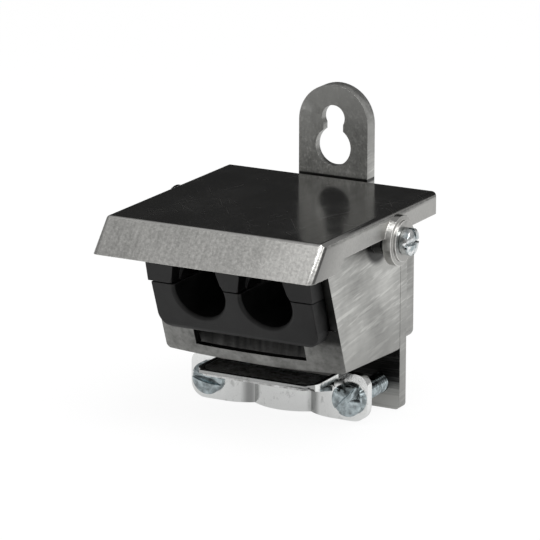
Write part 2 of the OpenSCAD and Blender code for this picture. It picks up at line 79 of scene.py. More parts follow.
# ---------------------------------------------------------------- sizes and colours
class CastingSettings(bpy.types.PropertyGroup):
    """Edge roundings and colours of the metal castings."""

    hood_edge: bpy.props.FloatProperty(
        name="Hood edge", description="Rounding of the hood's sharp edges",
        default=0.45 * MM, min=0.05 * MM, max=1.0 * MM, precision=5, unit="LENGTH", subtype="DISTANCE")
    housing_edge: bpy.props.FloatProperty(
        name="Housing edge",
        description="Most rounding of the housing's edges; its smallest facets hold it to a hairline",
        default=0.4 * MM, min=0.05 * MM, max=1.0 * MM, precision=5, unit="LENGTH", subtype="DISTANCE")
    bar_edge: bpy.props.FloatProperty(
        name="Clamp bar edge", description="Rounding of the clamp bar's sharp edges",
        default=0.6 * MM, min=0.05 * MM, max=1.0 * MM, precision=5, unit="LENGTH", subtype="DISTANCE")
    lip_thinning: bpy.props.FloatProperty(
        name="Lip thinning", description="How much thinner the clamp bar's lip is at its front",
        default=0.75 * MM, min=0.0, max=1.0 * MM, precision=5, unit="LENGTH", subtype="DISTANCE")
    # painted shade: the clamp bar is darkened in bands at its valleys
    bar_valley_shade: bpy.props.FloatProperty(
        name="Bar valleys", description="Distance of the clamp bar's dull valleys from its middle",
        default=11.5 * MM, min=5.0 * MM, max=20.0 * MM, precision=5, unit="LENGTH", subtype="DISTANCE")
    top_color: bpy.props.FloatVectorProperty(
        name="Polished top", description="Colour of the hood's polished top",
        default=(0.50, 0.495, 0.48), min=0.0, max=1.0, subtype="COLOR")
    hood_color: bpy.props.FloatVectorProperty(
        name="Hood", description="Colour of the hood's ground aluminium",
        default=(0.55, 0.545, 0.525), min=0.0, max=1.0, subtype="COLOR")
    housing_color: bpy.props.FloatVectorProperty(
        name="Housing", description="Colour of the housing's brushed aluminium",
        default=(0.52, 0.52, 0.50), min=0.0, max=1.0, subtype="COLOR")
    # painted shade: this colour of the unworked metal also stands in for the shade inside the castings
    raw_and_shade_color: bpy.props.FloatVectorProperty(
        name="Raw casting", description="Colour of the unworked metal inside the castings",
        default=(0.078, 0.078, 0.076), min=0.0, max=1.0, subtype="COLOR")
    bar_color: bpy.props.FloatVectorProperty(
        name="Clamp bar alloy", description="Colour of the bright cast alloy",
        default=(0.94, 0.95, 0.94), min=0.0, max=1.0, subtype="COLOR")


class RubberSettings(bpy.types.PropertyGroup):
    """Edge rounding and colour of the rubber insert."""

    edge: bpy.props.FloatProperty(
        name="Rubber edge", description="Rounding of the rubber's edges",
        default=0.8 * MM, min=0.05 * MM, max=1.5 * MM, precision=5, unit="LENGTH", subtype="DISTANCE")
    color: bpy.props.FloatVectorProperty(
        name="Rubber", description="Colour of the moulded rubber",
        default=(0.010, 0.010, 0.010), min=0.0, max=1.0, subtype="COLOR")


class ScrewSettings(bpy.types.PropertyGroup):
    """Thread and finish of the screws."""

    edge: bpy.props.FloatProperty(
        name="Head edge", description="Rounding of the heads' edges",
        default=0.3 * MM, min=0.05 * MM, max=1.0 * MM, precision=5, unit="LENGTH", subtype="DISTANCE")
    pitch: bpy.props.FloatProperty(
        name="Thread pitch", description="Pitch of the clamp screws' thread",
        default=1.27 * MM, min=0.5 * MM, max=2.0 * MM, precision=5, unit="LENGTH", subtype="DISTANCE")
    thread_depth: bpy.props.FloatProperty(
        name="Thread depth", description="Depth of the clamp screws' thread",
        default=0.62 * MM, min=0.2 * MM, max=1.0 * MM, precision=5, unit="LENGTH", subtype="DISTANCE")
    color: bpy.props.FloatVectorProperty(
        name="Zinc plating", description="Colour of the bluish zinc plating",
        default=(0.44, 0.50, 0.52), min=0.0, max=1.0, subtype="COLOR")


class StageSettings(bpy.types.PropertyGroup):
    """Camera, lamps and floor."""

    azimuth: bpy.props.FloatProperty(
        name="Azimuth", description="Camera's turn to the right of the front",
        default=math.radians(28.62), subtype="ANGLE", unit="ROTATION")
    elevation: bpy.props.FloatProperty(
        name="Elevation", description="Camera's height above the horizon",
        default=math.radians(15.16), subtype="ANGLE", unit="ROTATION")
    roll: bpy.props.FloatProperty(
        name="Roll", description="Camera's turn about its own axis",
        default=math.radians(0.14), subtype="ANGLE", unit="ROTATION")
    distance: bpy.props.FloatProperty(
        name="Distance", description="Distance from the camera to the aim point",
        default=1.2662, min=0.2, unit="LENGTH", subtype="DISTANCE")
    aim: bpy.props.FloatVectorProperty(
        name="Aim", description="Point in the middle of the view",
        default=(0.0, -0.04428, -0.03067), subtype="XYZ", unit="LENGTH")
    lens: bpy.props.FloatProperty(
        name="Lens", description="Focal length on a 36 mm wide sensor, in millimetres",
        default=272.3, min=10.0, unit="NONE")
    daylight: bpy.props.FloatProperty(
        name="Room light", description="Level of the room's own light on matte surfaces",
        default=0.70, min=0.0, max=2.0, subtype="FACTOR")
    mirrored_room: bpy.props.FloatProperty(
        name="Mirrored room", description="Level of the room as polished metal mirrors it",
        default=0.32, min=0.0, max=2.0, subtype="FACTOR")
    mirrored_floor: bpy.props.FloatProperty(
        name="Mirrored floor", description="Level of the floor as polished metal mirrors it",
        default=0.72, min=0.0, max=2.0, subtype="FACTOR")


# ---------------------------------------------------------------- node helpers
def new_material(name, color, metallic, roughness):
    """A material whose shader holds plain values; returns it with its tree and shader."""
    mat = bpy.data.materials.new(name)
    mat.use_nodes = True
    tree = mat.node_tree
    shader = tree.nodes["Principled BSDF"]
    shader.inputs["Base Color"].default_value = (*color, 1.0)
    shader.inputs["Metallic"].default_value = metallic
    shader.inputs["Roughness"].default_value = roughness
    return mat, tree, shader


def streak_noise(tree, scale, turn=(0.0, 0.0, 0.0), detail=3.0, rough=0.55, place=(0.0, 0.0, 0.0)):
    """Noise on Object coordinates, turned and then stretched: scale is features per metre."""
    coord = tree.nodes.new("ShaderNodeTexCoord")
    turner = tree.nodes.new("ShaderNodeMapping")
    turner.inputs["Rotation"].default_value = turn
    turner.inputs["Location"].default_value = place
    stretch = tree.nodes.new("ShaderNodeMapping")
    stretch.inputs["Scale"].default_value = scale
    noise = tree.nodes.new("ShaderNodeTexNoise")
    noise.inputs["Scale"].default_value = 1.0
    noise.inputs["Detail"].default_value = detail
    noise.inputs["Roughness"].default_value = rough
    tree.links.new(coord.outputs["Object"], turner.inputs["Vector"])
    tree.links.new(turner.outputs["Vector"], stretch.inputs["Vector"])
    tree.links.new(stretch.outputs["Vector"], noise.inputs["Vector"])
    return noise.outputs["Fac"]


def remap(tree, value, low, high, out_low, out_high, smooth=False):
    """Value from low..high to out_low..out_high, held at the ends."""
    node = tree.nodes.new("ShaderNodeMapRange")
    node.interpolation_type = "SMOOTHSTEP" if smooth else "LINEAR"
    node.inputs["From Min"].default_value = low
    node.inputs["From Max"].default_value = high
    node.inputs["To Min"].default_value = out_low
    node.inputs["To Max"].default_value = out_high
    tree.links.new(value, node.inputs["Value"])
    return node.outputs["Result"]


def combine(tree, operation, *values):
    """A chain of Math nodes on sockets or numbers."""
    result = values[0]
    for value in values[1:]:
        node = tree.nodes.new("ShaderNodeMath")
        node.operation = operation
        for slot, part in enumerate((result, value)):
            if isinstance(part, (int, float)):
                node.inputs[slot].default_value = part
            else:
                tree.links.new(part, node.inputs[slot])
        result = node.outputs["Value"]
    return result


def blend_colors(tree, factor, dark, light):
    """Mixes two colours by a socket."""
    node = tree.nodes.new("ShaderNodeMix")
    node.data_type = "RGBA"
    node.inputs["A"].default_value = (*dark, 1.0)
    node.inputs["B"].default_value = (*light, 1.0)
    tree.links.new(factor, node.inputs["Factor"])
    return node.outputs["Result"]


def bump(tree, shader, height, strength, distance):
    """Bump from a height socket, added on top of what the shader already has."""
    node = tree.nodes.new("ShaderNodeBump")
    node.inputs["Strength"].default_value = strength
    node.inputs["Distance"].default_value = distance
    tree.links.new(height, node.inputs["Height"])
    normal = shader.inputs["Normal"]
    if normal.is_linked:
        tree.links.new(normal.links[0].from_socket, node.inputs["Normal"])
    tree.links.new(node.outputs["Normal"], normal)


def along(tree, axis, low, high, out_low=0.0, out_high=1.0):
    """Ramp between two places on one axis of the object."""
    coord = tree.nodes.new("ShaderNodeTexCoord")
    split = tree.nodes.new("ShaderNodeSeparateXYZ")
    tree.links.new(coord.outputs["Object"], split.inputs["Vector"])
    return remap(tree, split.outputs[axis], low, high, out_low, out_high, True)


def distance_along(tree, direction, origin):
    """How far a point lies from origin in one direction."""
    coord = tree.nodes.new("ShaderNodeTexCoord")
    offset = tree.nodes.new("ShaderNodeVectorMath")
    offset.operation = "SUBTRACT"
    offset.inputs[1].default_value = origin
    dot = tree.nodes.new("ShaderNodeVectorMath")
    dot.operation = "DOT_PRODUCT"
    dot.inputs[1].default_value = direction
    tree.links.new(coord.outputs["Object"], offset.inputs[0])
    tree.links.new(offset.outputs["Vector"], dot.inputs[0])
    return dot.outputs["Value"]


def distance_from_axis(tree, origin):
    """How far a point lies from a line along X through origin."""
    coord = tree.nodes.new("ShaderNodeTexCoord")
    flatten = tree.nodes.new("ShaderNodeVectorMath")
    flatten.operation = "MULTIPLY"
    flatten.inputs[1].default_value = (0.0, 1.0, 1.0)
    apart = tree.nodes.new("ShaderNodeVectorMath")
    apart.operation = "DISTANCE"
    apart.inputs[1].default_value = (0.0, origin[1], origin[2])
    tree.links.new(coord.outputs["Object"], flatten.inputs[0])
    tree.links.new(flatten.outputs["Vector"], apart.inputs[0])
    return apart.outputs["Value"]


def darken(tree, shader, lit, share, color):
    """Puts a lit colour on the shader, mixed towards a dark one where share is under 1."""
    mix = tree.nodes.new("ShaderNodeMix")
    mix.data_type = "RGBA"
    mix.inputs["A"].default_value = (*color, 1.0)
    tree.links.new(lit, mix.inputs["B"])
    tree.links.new(share, mix.inputs["Factor"])
    tree.links.new(mix.outputs["Result"], shader.inputs["Base Color"])


def weigh(tree, *weighted):
    """Sum of sockets, each times its weight."""
    return combine(tree, "ADD", *(combine(tree, "MULTIPLY", value, weight) for value, weight in weighted))


def spread(tree, noise, low=0.3, high=0.7):
    """Noise from low..high stretched to 0..1."""
    return remap(tree, noise, low, high, 0.0, 1.0)


def color_by(tree, shader, factor, dark, light):
    """Colours the shader between two tones by a socket."""
    tree.links.new(blend_colors(tree, factor, dark, light), shader.inputs["Base Color"])


def roughen(tree, shader, noise, smooth, rough, low=0.3, high=0.7):
    """Varies the shader's roughness with a noise."""
    tree.links.new(remap(tree, noise, low, high, smooth, rough), shader.inputs["Roughness"])


def shade(color, factor):
    """A colour made lighter or darker."""
    return tuple(min(1.0, c * factor) for c in color)


# ---------------------------------------------------------------- finishes
def polished_top_finish(color):
    """Nearly mirror bright metal with fine crossing scratches and a faint haze."""
    mat, tree, shader = new_material("polished_top", color, 1.0, 0.16)
    directions = ((0.35, 2600.0, 45.0, 0.0), (1.35, 2300.0, 60.0, 0.7),
                  (-0.6, 3000.0, 40.0, 1.9), (2.2, 2700.0, 70.0, 3.1))
    lines = []
    for turn, across, lengthwise, seed in directions:
        line = streak_noise(tree, (across, lengthwise, 1.0), (0.0, 0.0, turn), 1.0, 0.4, (seed, seed, 0.0))
        lines.append(spread(tree, line, 0.69, 0.76))
    scratches = combine(tree, "MAXIMUM", *lines)
    haze = streak_noise(tree, (60.0, 60.0, 60.0), detail=6.0)
    drawn = streak_noise(tree, (520.0, 9.0, 1.0), detail=3.0, place=(0.2, 0.4, 0.0))
    tint = weigh(tree, (spread(tree, drawn, 0.35, 0.65), 0.5),
                 (remap(tree, haze, 0.35, 0.7, 0.0, 1.0, True), 0.5))
    color_by(tree, shader, tint, shade(color, 0.86), shade(color, 1.12))
    rough = combine(tree, "ADD", remap(tree, haze, 0.3, 0.7, 0.11, 0.2),
                    combine(tree, "MULTIPLY", scratches, 0.12))
    tree.links.new(rough, shader.inputs["Roughness"])
    bump(tree, shader, scratches, 0.2, 0.01 * MM)
    return mat


def ground_and_painted_light_finish(name, color, apron, inward, skirt_x, roughness=0.38):
    """Sandy cast skin ground with a belt, with a painted highlight towards the apron's right end, a band of
    painted shade just behind the apron's edge, and darker on the skirts and towards their front.

    apron is a point on the apron's face and inward the way behind it; the skirts lie past skirt_x.
    """
    mat, tree, shader = new_material(name, color, 1.0, roughness)
    streaks = streak_noise(tree, (800.0, 26.0, 26.0), detail=3.0, rough=0.6)
    sand = streak_noise(tree, (1100.0, 1100.0, 1100.0), detail=2.0, place=(0.3, 0.8, 0.2))
    cloud = streak_noise(tree, (60.0, 60.0, 60.0), detail=5.0, place=(0.4, 0.9, 0.1))
    # the ramps along X lighten the apron towards its right end: painted highlight
    tint = weigh(tree, (spread(tree, streaks), 0.2), (spread(tree, sand), 0.3), (spread(tree, cloud), 0.15),
                 (along(tree, "X", -38.0 * MM, 10.0 * MM), 0.1),
                 (along(tree, "X", 12.0 * MM, 36.0 * MM), 0.4))
    behind = distance_along(tree, inward, apron)
    # behind the apron's face the rounded edge stays lit, then comes a band of painted shade, then it is
    # darker towards the skirts' front
    bright_edge = remap(tree, behind, 0.6 * MM, 0.9 * MM, 1.0, 0.0)
    painted_shade_band = remap(tree, behind, 1.4 * MM, 2.6 * MM, 0.1, 1.0, True)
    darker_front = remap(tree, behind, 2.0 * MM, 12.0 * MM, 0.6, 1.0)
    clear = combine(tree, "MAXIMUM", combine(tree, "MINIMUM", painted_shade_band, darker_front), bright_edge)
    # the skirts are darker than the apron
    inner_x = skirt_x - 0.5 * MM
    sides = combine(tree, "MINIMUM", along(tree, "X", inner_x, skirt_x, 1.0, 0.64),
                    along(tree, "X", -skirt_x, -inner_x, 0.64, 1.0))
    darken(tree, shader, blend_colors(tree, tint, shade(color, 0.5), shade(color, 1.4)),
           combine(tree, "MULTIPLY", clear, sides), shade(color, 0.12))
    roughen(tree, shader, sand, roughness - 0.08, roughness + 0.1)
    bump(tree, shader, sand, 0.7, 0.12 * MM)
    bump(tree, shader, streaks, 0.3, 0.05 * MM)
    return mat


def brushed_and_painted_shade_finish(name, color, hood_top, pivot, roughness=0.36):
    """Cast metal filed back and forth, with painted shade: the ear darker upwards, a painted shadow of the
    skirts on the wall, a painted shadow line at the hood's top, a painted shadow round the pivot, and darker
    towards the foot.
    """
    mat, tree, shader = new_material(name, color, 1.0, roughness)
    slant = (math.radians(-4.0), 0.0, 0.0)
    file_slant = (math.radians(-9.0), 0.0, 0.0)
    fine = streak_noise(tree, (1500.0, 50.0, 1300.0), slant, 3.0)
    files = streak_noise(tree, (900.0, 75.0, 760.0), file_slant, 2.0, 0.5, (1.0, 0.3, 0.2))
    broad = streak_noise(tree, (300.0, 50.0, 190.0), slant, 4.0, 0.65, (1.3, 0.2, 0.4))
    cloud = streak_noise(tree, (42.0, 42.0, 42.0), detail=5.0, place=(0.4, 0.9, 0.1))
    tint = weigh(tree, (spread(tree, fine, 0.35, 0.65), 0.25), (spread(tree, files, 0.56, 0.66), 0.35),
                 (spread(tree, broad, 0.35, 0.65), 0.25), (spread(tree, cloud, 0.38, 0.62), 0.5))

    def height(low, high, out_low, out_high):
        """A ramp between two heights, in millimetres over the hood's top."""
        return along(tree, "Z", hood_top + low * MM, hood_top + high * MM, out_low, out_high)

    # painted shade: the ear darker upwards, a painted shadow of the skirts on the wall, darker towards the
    # foot, and a painted shadow line at the hood's top
    ear = combine(tree, "MAXIMUM", height(-1.5, 0.5, 1.0, 0.0), height(0.0, 28.0, 1.0, 0.3))
    painted_skirt_shadow = combine(tree, "MAXIMUM", height(-17.0, -8.0, 1.0, 0.45), height(-3.0, 0.0, 0.0, 1.0))
    foot = height(-48.0, -30.0, 0.45, 1.0)
    painted_seam_shadow = combine(tree, "MAXIMUM", height(0.1, 0.6, 0.0, 1.0), height(-1.4, -0.4, 1.0, 0.0))
    # painted shadow round the pivot, where the lug shades the wall
    hollow = remap(tree, distance_from_axis(tree, pivot), 7.0 * MM, 9.5 * MM, 0.0, 1.0, True)
    tint = combine(tree, "MULTIPLY", tint, ear, painted_skirt_shadow, foot)
    darken(tree, shader, blend_colors(tree, tint, shade(color, 0.52), shade(color, 1.28)),
           combine(tree, "MULTIPLY", painted_seam_shadow, hollow), shade(color, 0.1))
    roughen(tree, shader, fine, roughness - 0.08, roughness + 0.1, 0.25, 0.75)
    bump(tree, shader, fine, 0.4, 0.05 * MM)
    bump(tree, shader, files, 0.5, 0.1 * MM)
    return mat


def front_and_painted_shade_finish(color, low, high, roughness=0.45):
    """The housing's front: unground skin with pits and stains, and painted shade above low..high beside the
    rubber.
    """
    mat, tree, shader = new_material("housing_front", color, 1.0, roughness)
    pits = streak_noise(tree, (650.0, 650.0, 650.0), detail=3.0)
    stain = streak_noise(tree, (170.0, 170.0, 170.0), detail=5.0, rough=0.7)
    tint = weigh(tree, (spread(tree, pits), 0.5), (spread(tree, stain, 0.35, 0.65), 0.5))
    # painted shade beside the rubber, above low..high
    darken(tree, shader, blend_colors(tree, tint, shade(color, 0.5), shade(color, 1.3)),
           along(tree, "Z", low, high, 1.0, 0.1), shade(color, 0.1))
    roughen(tree, shader, pits, roughness - 0.1, roughness + 0.1)
    bump(tree, shader, pits, 0.5, 0.15 * MM)
    return mat


def worn_and_highlit_finish(name, color, metallic):
    """Rubbed edges, painted bright as edge highlights."""
    mat, tree, shader = new_material(name, color, metallic, 0.3)
    rub = streak_noise(tree, (260.0, 260.0, 260.0), detail=4.0, rough=0.7)
    color_by(tree, shader, spread(tree, rub, 0.35, 0.65), shade(color, 0.75), shade(color, 1.3))
    roughen(tree, shader, rub, 0.24, 0.38)
    bump(tree, shader, rub, 0.3, 0.1 * MM)
    return mat


def raw_finish(color, name="raw_casting_painted_shade"):
    """Unworked metal inside a casting: dull and streaked, as dark as its colour, which in the castings'
    hollows is painted shade.
    """
    mat, tree, shader = new_material(name, color, 1.0, 0.5)
    streaks = streak_noise(tree, (500.0, 500.0, 40.0), detail=4.0)
    grain = streak_noise(tree, (1500.0, 1500.0, 1500.0), detail=3.0)
    color_by(tree, shader, spread(tree, streaks, 0.35, 0.65), shade(color, 0.7), shade(color, 1.5))
    roughen(tree, shader, grain, 0.4, 0.6)
    bump(tree, shader, grain, 0.4, 0.08 * MM)
    return mat


def shaded_plate_finish(bright, dark, low, high):
    """The back plate's face: bright and streaked at its foot, with painted shade under the housing."""
    mat, tree, shader = new_material("plate_face", bright, 1.0, 0.42)
    streaks = streak_noise(tree, (30.0, 30.0, 900.0), detail=4.0, rough=0.7)
    level = combine(tree, "ADD", along(tree, "Z", low, high), remap(tree, streaks, 0.3, 0.7, -0.22, 0.22))
    color_by(tree, shader, level, bright, dark)
    roughen(tree, shader, streaks, 0.34, 0.5)
    bump(tree, shader, streaks, 0.5, 0.06 * MM)
    return mat


def cast_and_painted_shade_finish(name, color, valley=None, roughness=0.2):
    """Bright die-cast metal: soft waves, a fine skin and a few stains, with painted shade in bands at x =
    +-valley where given.
    """
    mat, tree, shader = new_material(name, color, 1.0, roughness)
    wave = streak_noise(tree, (150.0, 150.0, 90.0), detail=3.0)
    skin = streak_noise(tree, (900.0, 900.0, 900.0), detail=3.0)
    stain = streak_noise(tree, (260.0, 260.0, 200.0), detail=6.0, rough=0.75, place=(0.3, 0.1, 0.7))
    lit = blend_colors(tree, spread(tree, stain, 0.34, 0.44), shade(color, 0.72), color)
    if valley is None:
        tree.links.new(lit, shader.inputs["Base Color"])
    else:
        # painted shade: dark bands at x = +-valley
        reach = 3.0 * MM
        sides = [remap(tree, distance_along(tree, (1.0, 0.0, 0.0), (x, 0.0, 0.0)), -reach, reach, -1.0, 1.0)
                 for x in (valley, -valley)]
        from_valley = combine(tree, "ABSOLUTE", combine(tree, "MULTIPLY", *sides), 0.0)
        darken(tree, shader, lit, remap(tree, from_valley, 0.1, 1.0, 0.32, 1.0, True), shade(color, 0.16))
    roughen(tree, shader, skin, roughness - 0.06, roughness + 0.06)
    bump(tree, shader, wave, 0.5, 0.4 * MM)
    bump(tree, shader, skin, 0.25, 0.05 * MM)
    return mat


def zinc_finish(name, color):
    """Bright bluish zinc plating with slight mottling."""
    mat, tree, shader = new_material(name, color, 1.0, 0.2)
    mottle = streak_noise(tree, (500.0, 500.0, 500.0), detail=4.0)
    color_by(tree, shader, spread(tree, mottle, 0.35, 0.65), shade(color, 0.6), shade(color, 1.5))
    roughen(tree, shader, mottle, 0.08, 0.2)
    bump(tree, shader, mottle, 0.3, 0.06 * MM)
    return mat


def rubber_finish(name, color, gloss):
    """Matte moulded rubber with rub marks and a fine grain."""
    mat, tree, shader = new_material(name, color, 0.0, 0.5)
    shader.inputs["Specular IOR Level"].default_value = gloss
    grain = streak_noise(tree, (2200.0, 2200.0, 2200.0), detail=3.0)
    rubs = streak_noise(tree, (160.0, 160.0, 70.0), detail=6.0, rough=0.65)
    color_by(tree, shader, spread(tree, rubs, 0.4, 0.75), shade(color, 0.8), shade(color, 1.9))
    roughen(tree, shader, rubs, 0.4, 0.56)
    bump(tree, shader, grain, 0.3, 0.05 * MM)
    bump(tree, shader, rubs, 0.3, 0.15 * MM)
    return mat


# ---------------------------------------------------------------- mesh helpers
def merged_copy(node):
    """A bmesh of a CAD node, with its loose triangles joined and its flat faces whole."""
    bm = bmesh.new()
    bm.from_mesh(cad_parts[node].data)
    bmesh.ops.remove_doubles(bm, verts=bm.verts[:], dist=1e-6)
    bmesh.ops.dissolve_limit(bm, angle_limit=math.radians(1.0), verts=bm.verts[:], edges=bm.edges[:],
                             use_dissolve_boundaries=False)
    return bm


def round_edges(bm, width, segments=2):
    """Rounds every sharp edge and returns the new faces."""
    sharp = [e for e in bm.edges if len(e.link_faces) == 2 and e.calc_face_angle() > SHARP]
    made = bmesh.ops.bevel(bm, geom=sharp, offset=width, offset_type="OFFSET", segments=segments,
                           profile=0.5, affect="EDGES", clamp_overlap=True, loop_slide=True, material=-1)
    return set(made["faces"])


def finish_piece(bm, name, body, materials, replaced=()):
    """Turns a bmesh into a piece that rides on a body: curves shaded smooth, broad planes flat."""
    mesh = bpy.data.meshes.new(name)
    bm.faces.index_update()
    planes = [f.index for f in bm.faces if f.calc_area() > BROAD * f.calc_perimeter()]
    bm.to_mesh(mesh)
    bm.free()
    obj = bpy.data.objects.new(name, mesh)
    bpy.context.scene.collection.objects.link(obj)
    for material in materials:
        mesh.materials.append(material)
    mesh.shade_smooth()
    mesh.set_sharp_from_angle(angle=CREASE)
    for index in planes:
        mesh.polygons[index].use_smooth = False
    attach(obj, body)
    if replaced:
        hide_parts(*replaced)


def pivot_axis():
    """A point on the line through both pivot screws."""
    low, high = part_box("hinge_screw_right")
    return (low + high) / 2


def paint(bm, rule, edges=(), edge_slot=None, over=()):
    """Gives each face the material slot that the rule returns, or edge_slot to edges that lie over others."""
    bm.normal_update()
    for face in bm.faces:
        slot = rule(face.calc_center_median(), face.normal)
        face.material_index = edge_slot if face in edges and slot in over else slot


def near_axis(center, axis):
    """How far a point lies from a line along X."""
    return math.hypot(center.y - axis.y, center.z - axis.z)


# ---------------------------------------------------------------- pieces
class WEATHERHEAD_OT_hood(bpy.types.Operator):
    """Add the softened hood with its polished top"""
    bl_idname = "weatherhead.hood"
    bl_label = "Hood"

    def execute(self, context):
        cast = context.scene.weatherhead_castings
        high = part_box("hood")[1]
        bm = merged_copy("hood")
        edges = round_edges(bm, cast.hood_edge)
        bm.normal_update()
        pivot = pivot_axis()
        apron = max((f for f in bm.faces if f.normal.y < -0.5 and f.normal.z > 0.4),
                    key=lambda f: f.calc_area())
        fold_y = max(vert.co.y for vert in apron.verts)
        top_rim = high.z - 2.2 * MM
        lug_hole = 5.6 * MM
        inner_lug_x = high.x - 3.6 * MM
        skirt_inside_x = high.x - 5.2 * MM
        polished, ground, raw_painted_shade, worn_and_highlit = range(4)

        def surface(center, normal):
            if normal.z > 0.55 and center.z > top_rim and center.y > fold_y:
                return polished
            # painted shade: the unworked casting's dark colour round the pivot inside the lug
            if near_axis(center, pivot) < lug_hole and abs(center.x) < inner_lug_x:
                return raw_painted_shade
            # painted shade: the unworked casting's dark colour on faces turned inwards
            faces_inwards = abs(normal.x) > 0.9 or normal.z < -0.5
            return raw_painted_shade if faces_inwards and abs(center.x) < skirt_inside_x else ground

        point, inward = tuple(apron.calc_center_median()), tuple(-apron.normal)
        # the rounded lower edges of the ground faces get rubbed metal with a painted highlight
        low_edges = {f for f in edges if f.calc_center_median().z < high.z - 2.0 * MM}
        paint(bm, surface, low_edges, worn_and_highlit, (ground,))
        finish_piece(bm, "hood_casting", "hood",
                     [polished_top_finish(cast.top_color),
                      ground_and_painted_light_finish("ground_hood_painted_light", cast.hood_color, point, inward, 37.8 * MM),
                      raw_finish(cast.raw_and_shade_color),
                      worn_and_highlit_finish("worn_hood_highlit", shade(cast.hood_color, 1.35), 0.5)], ["hood"])
        return {"FINISHED"}


class WEATHERHEAD_OT_housing(bpy.types.Operator):
    """Add the housing with its filed outside and its inside darkened as painted shade"""
    bl_idname = "weatherhead.housing"
    bl_label = "Housing"

    def execute(self, context):
        cast = context.scene.weatherhead_castings
        insert_low, insert_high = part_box("insert_lower")
        bar_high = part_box("clamp_bar")[1]
        low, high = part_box("housing")
        hood_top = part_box("hood")[1].z
        half_inside = insert_high.x + 1.2 * MM
        foot = bar_high.z + 4.8 * MM
        bm = merged_copy("housing")
        edges = round_edges(bm, cast.housing_edge)
        cross_wall_drop = 2.0 * MM
        cross_wall_back = insert_high.y + 4.0 * MM
        for vert in bm.verts:
            if (insert_high.y < vert.co.y < cross_wall_back and vert.co.z < foot + 2.0 * MM
                    and abs(vert.co.x) < half_inside):
                vert.co.z -= cross_wall_drop
        front_y = insert_high.y - 5.0 * MM
        ceiling = insert_high.z + 18.0 * MM
        ear_front, ear_foot, ear_half = -1.0 * MM, hood_top - 20.0 * MM, 12.0 * MM
        keyhole_half, keyhole_top = 7.5 * MM, high.z - 4.0 * MM
        brushed, raw_painted_shade, plate, front, worn_and_highlit, ear_rim = range(6)

        def surface(center, normal):
            if normal.y < -0.5 and normal.z < 0.5 and center.y < front_y:
                return front
            inside = abs(center.x) < half_inside and foot < center.z < ceiling
            # painted shade: the unworked casting's dark colour inside the housing
            if inside and center.y < bar_high.y + 3.0 * MM:
                return raw_painted_shade
            if normal.y < -0.9 and center.z < foot and center.y > bar_high.y:
                return plate
            on_ear = center.y > ear_front and center.z > ear_foot and abs(center.x) < ear_half
            past_keyhole = abs(center.x) > keyhole_half or center.z > keyhole_top
            # painted light: the ear's rim faces take a darker, less metallic copy of the housing's metal,
            # which reads lighter
            return ear_rim if on_ear and past_keyhole and abs(normal.y) < 0.5 else brushed

        # the rounded edges of the outside faces get rubbed metal with a painted highlight
        paint(bm, surface, edges, worn_and_highlit, (brushed, front))
        shoulder = insert_low.z
        finish_piece(bm, "housing_casting", "housing",
                     [brushed_and_painted_shade_finish("brushed_housing_painted_shade", cast.housing_color,
                                     hood_top, tuple(pivot_axis())),
                      raw_finish(cast.raw_and_shade_color),
                      shaded_plate_finish(shade(cast.housing_color, 0.9), shade(cast.raw_and_shade_color, 0.4),
                                          low.z + 3.0 * MM, low.z + 12.0 * MM),
                      # a darker copy of the housing's colour on the front faces: painted shade
                      front_and_painted_shade_finish(shade(cast.housing_color, 0.55),
                                   shoulder - 1.0 * MM, shoulder + 1.5 * MM),
                      worn_and_highlit_finish("worn_housing_highlit", shade(cast.housing_color, 1.45), 0.35),
                      worn_and_highlit_finish("ear_rim", shade(cast.housing_color, 0.7), 0.8)], ["housing"])
        return {"FINISHED"}


class WEATHERHEAD_OT_insert(bpy.types.Operator):
    """Add the two pieces of the rubber insert"""
    bl_idname = "weatherhead.insert"
    bl_label = "Rubber insert"

    def execute(self, context):
        rubber = context.scene.weatherhead_rubber
        outside = rubber_finish("moulded_rubber", rubber.color, 0.34)
        # a darker copy of the rubber in the bores: painted shade
        inside = rubber_finish("rubber_bores", shade(rubber.color, 0.4), 0.1)
        half_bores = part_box("insert_lower")[1].x - 5.0 * MM
        skin, bore = range(2)

        def surface(center, normal):
            along_bore = abs(normal.dot(BORE_AXIS)) < 0.3
            return bore if along_bore and abs(center.x) < half_bores else skin

        for part, body in (("upper", "hood"), ("lower", "housing")):
            bm = merged_copy("insert_" + part)
            edges = round_edges(bm, rubber.edge, 3)
            paint(bm, surface, edges, skin, (bore,))
            finish_piece(bm, "rubber_" + part, body, [outside, inside],
                         ["insert_" + part])
        return {"FINISHED"}


